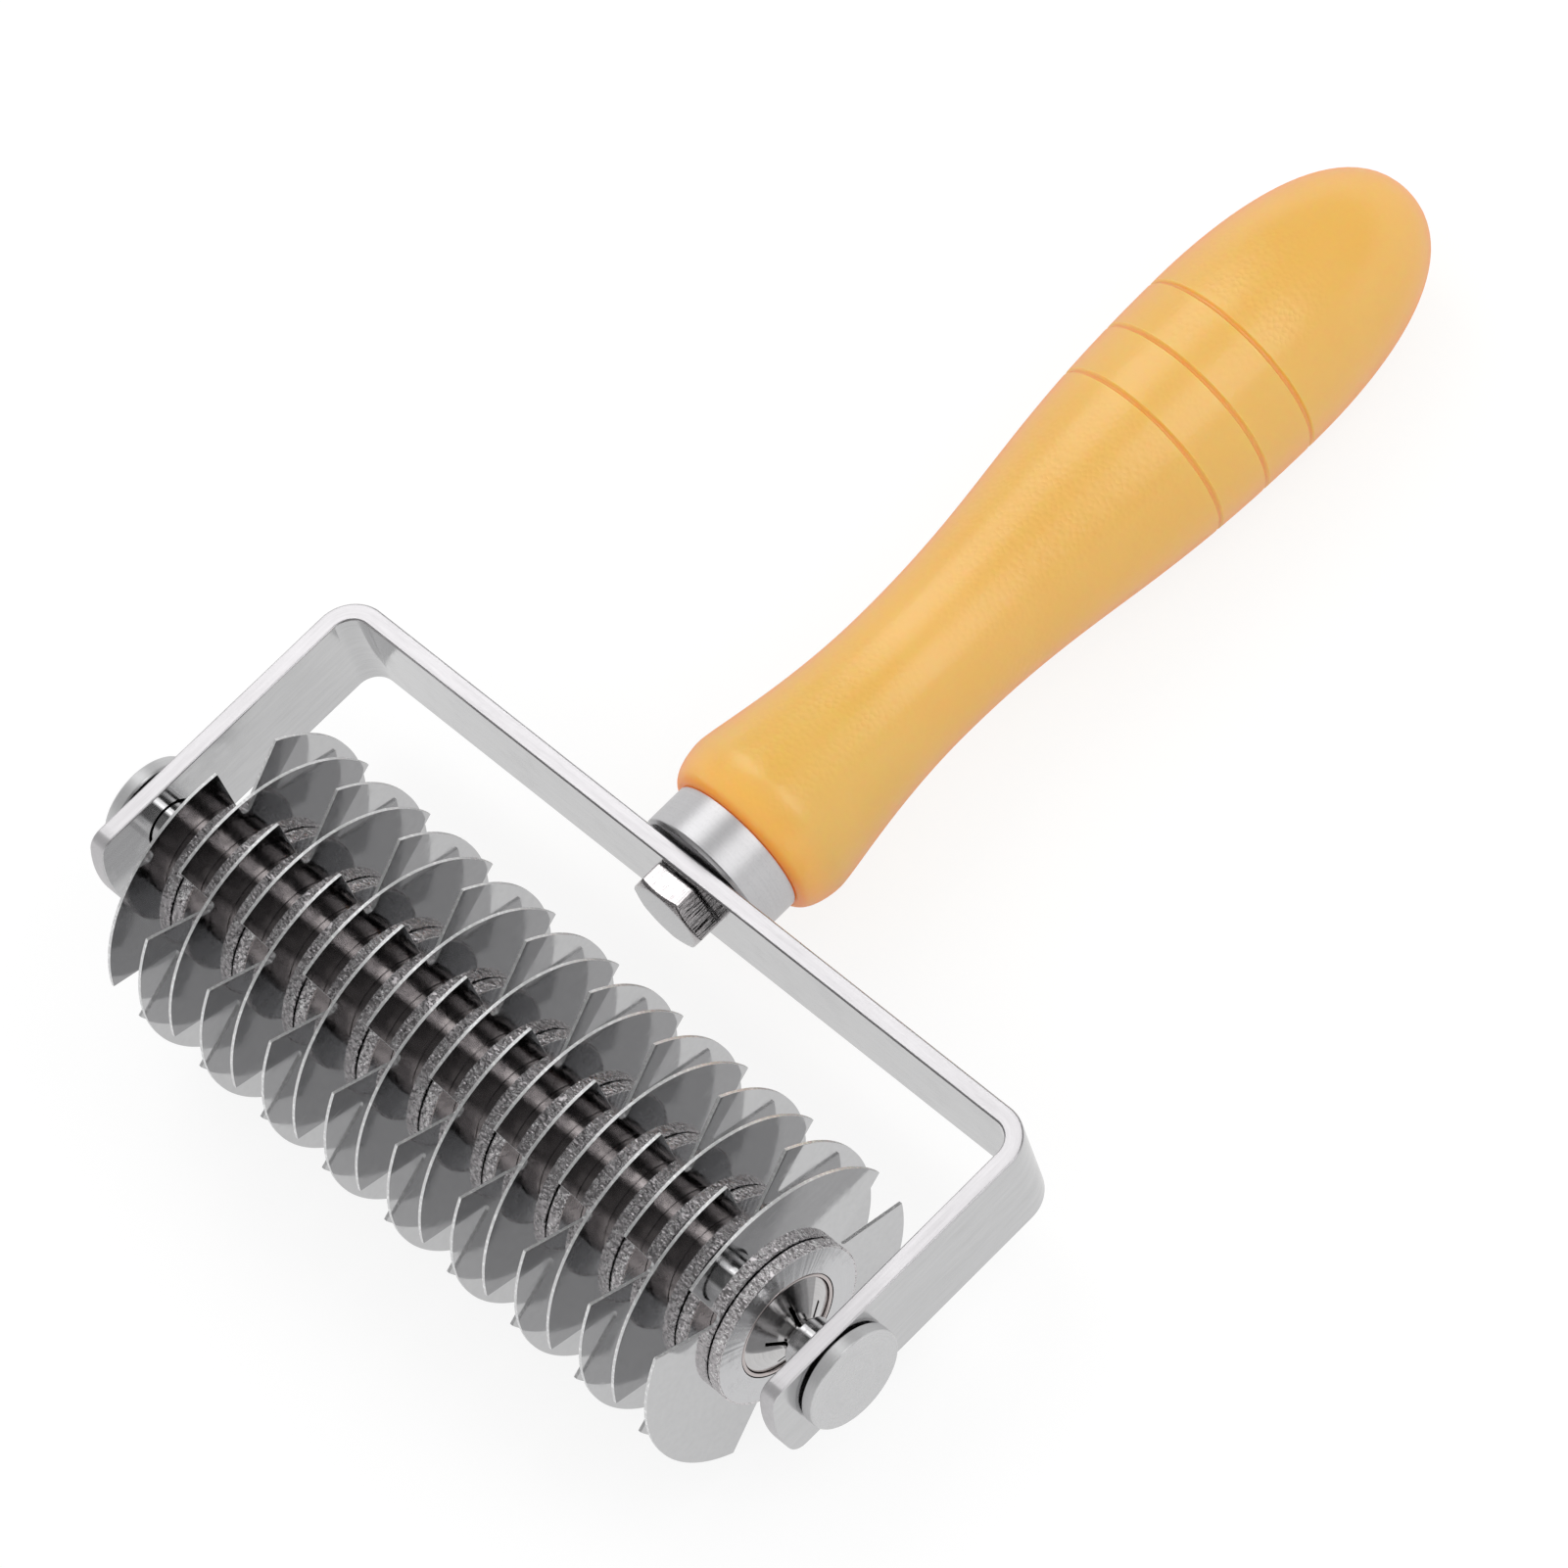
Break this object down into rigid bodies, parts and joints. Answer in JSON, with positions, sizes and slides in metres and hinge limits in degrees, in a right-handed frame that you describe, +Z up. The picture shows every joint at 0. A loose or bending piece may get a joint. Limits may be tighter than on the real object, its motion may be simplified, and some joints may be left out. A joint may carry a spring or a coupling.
{
  "type": "lattice roller cutter",
  "caption": "Hand pastry tool: staggered notched discs on a hub that spins freely in a bent steel strip yoke, bolted to a swelled moulded handle; rolls slits into dough that opens to a lattice.",
  "frame": {"origin": "middle of the tool's box, on the table it lies on", "axes": "+X along the roller axle, +Y towards the butt of the handle, +Z up from the table; the handle end drops by 3 degrees so that discs and handle both touch the table"},
  "size_m": [0.135, 0.1948, 0.0448],
  "materials": {
    "blade_steel": "mirror-polished stainless sheet with ground rims",
    "ring_steel": "smooth faces, rough sheared edge",
    "hub_steel": "bright drawn steel",
    "yoke_steel": "polished sides, bright ground edges",
    "cap_steel": "fine turned satin",
    "bolt_chrome": "bright plated",
    "insert_brass": "turned brass",
    "grip_plastic": "satin orange-yellow moulded plastic"
  },
  "bodies": {
    "frame": {"yoke": "yoke_steel", "handle_bolt": "bolt_chrome", "handle_ferrule": "cap_steel", "handle_insert": "insert_brass", "handle_grip": "grip_plastic"},
    "roller": {"axle_rod": "hub_steel", "axle_bush_left": "hub_steel", "axle_bush_right": "hub_steel", "axle_cap_left": "cap_steel", "axle_cap_right": "cap_steel", "hub_tube": "hub_steel", "hub_plate_left": "hub_steel", "hub_plate_right": "hub_steel", "blade_01": "blade_steel", "blade_02": "blade_steel", "blade_03": "blade_steel", "blade_04": "blade_steel", "blade_05": "blade_steel", "blade_06": "blade_steel", "blade_07": "blade_steel", "blade_08": "blade_steel", "blade_09": "blade_steel", "blade_10": "blade_steel", "blade_11": "blade_steel", "blade_12": "blade_steel", "blade_13": "blade_steel", "blade_14": "blade_steel", "blade_15": "blade_steel", "blade_16": "blade_steel", "blade_17": "blade_steel", "blade_18": "blade_steel", "backing_ring_01": "ring_steel", "backing_ring_02": "ring_steel", "backing_ring_03": "ring_steel", "backing_ring_04": "ring_steel", "backing_ring_05": "ring_steel", "backing_ring_06": "ring_steel", "backing_ring_07": "ring_steel", "backing_ring_08": "ring_steel", "backing_ring_09": "ring_steel", "backing_ring_10": "ring_steel", "backing_ring_11": "ring_steel", "backing_ring_12": "ring_steel", "backing_ring_13": "ring_steel", "backing_ring_14": "ring_steel", "backing_ring_15": "ring_steel", "backing_ring_16": "ring_steel", "backing_ring_17": "ring_steel", "backing_ring_18": "ring_steel"}
  },
  "joints": [
    {"name": "roller_spin", "type": "hinge", "parent": "frame", "child": "roller", "pos_m": [0, -0.07506, 0.0224], "axis": [1, 0, 0], "continuous": true}
  ]
}
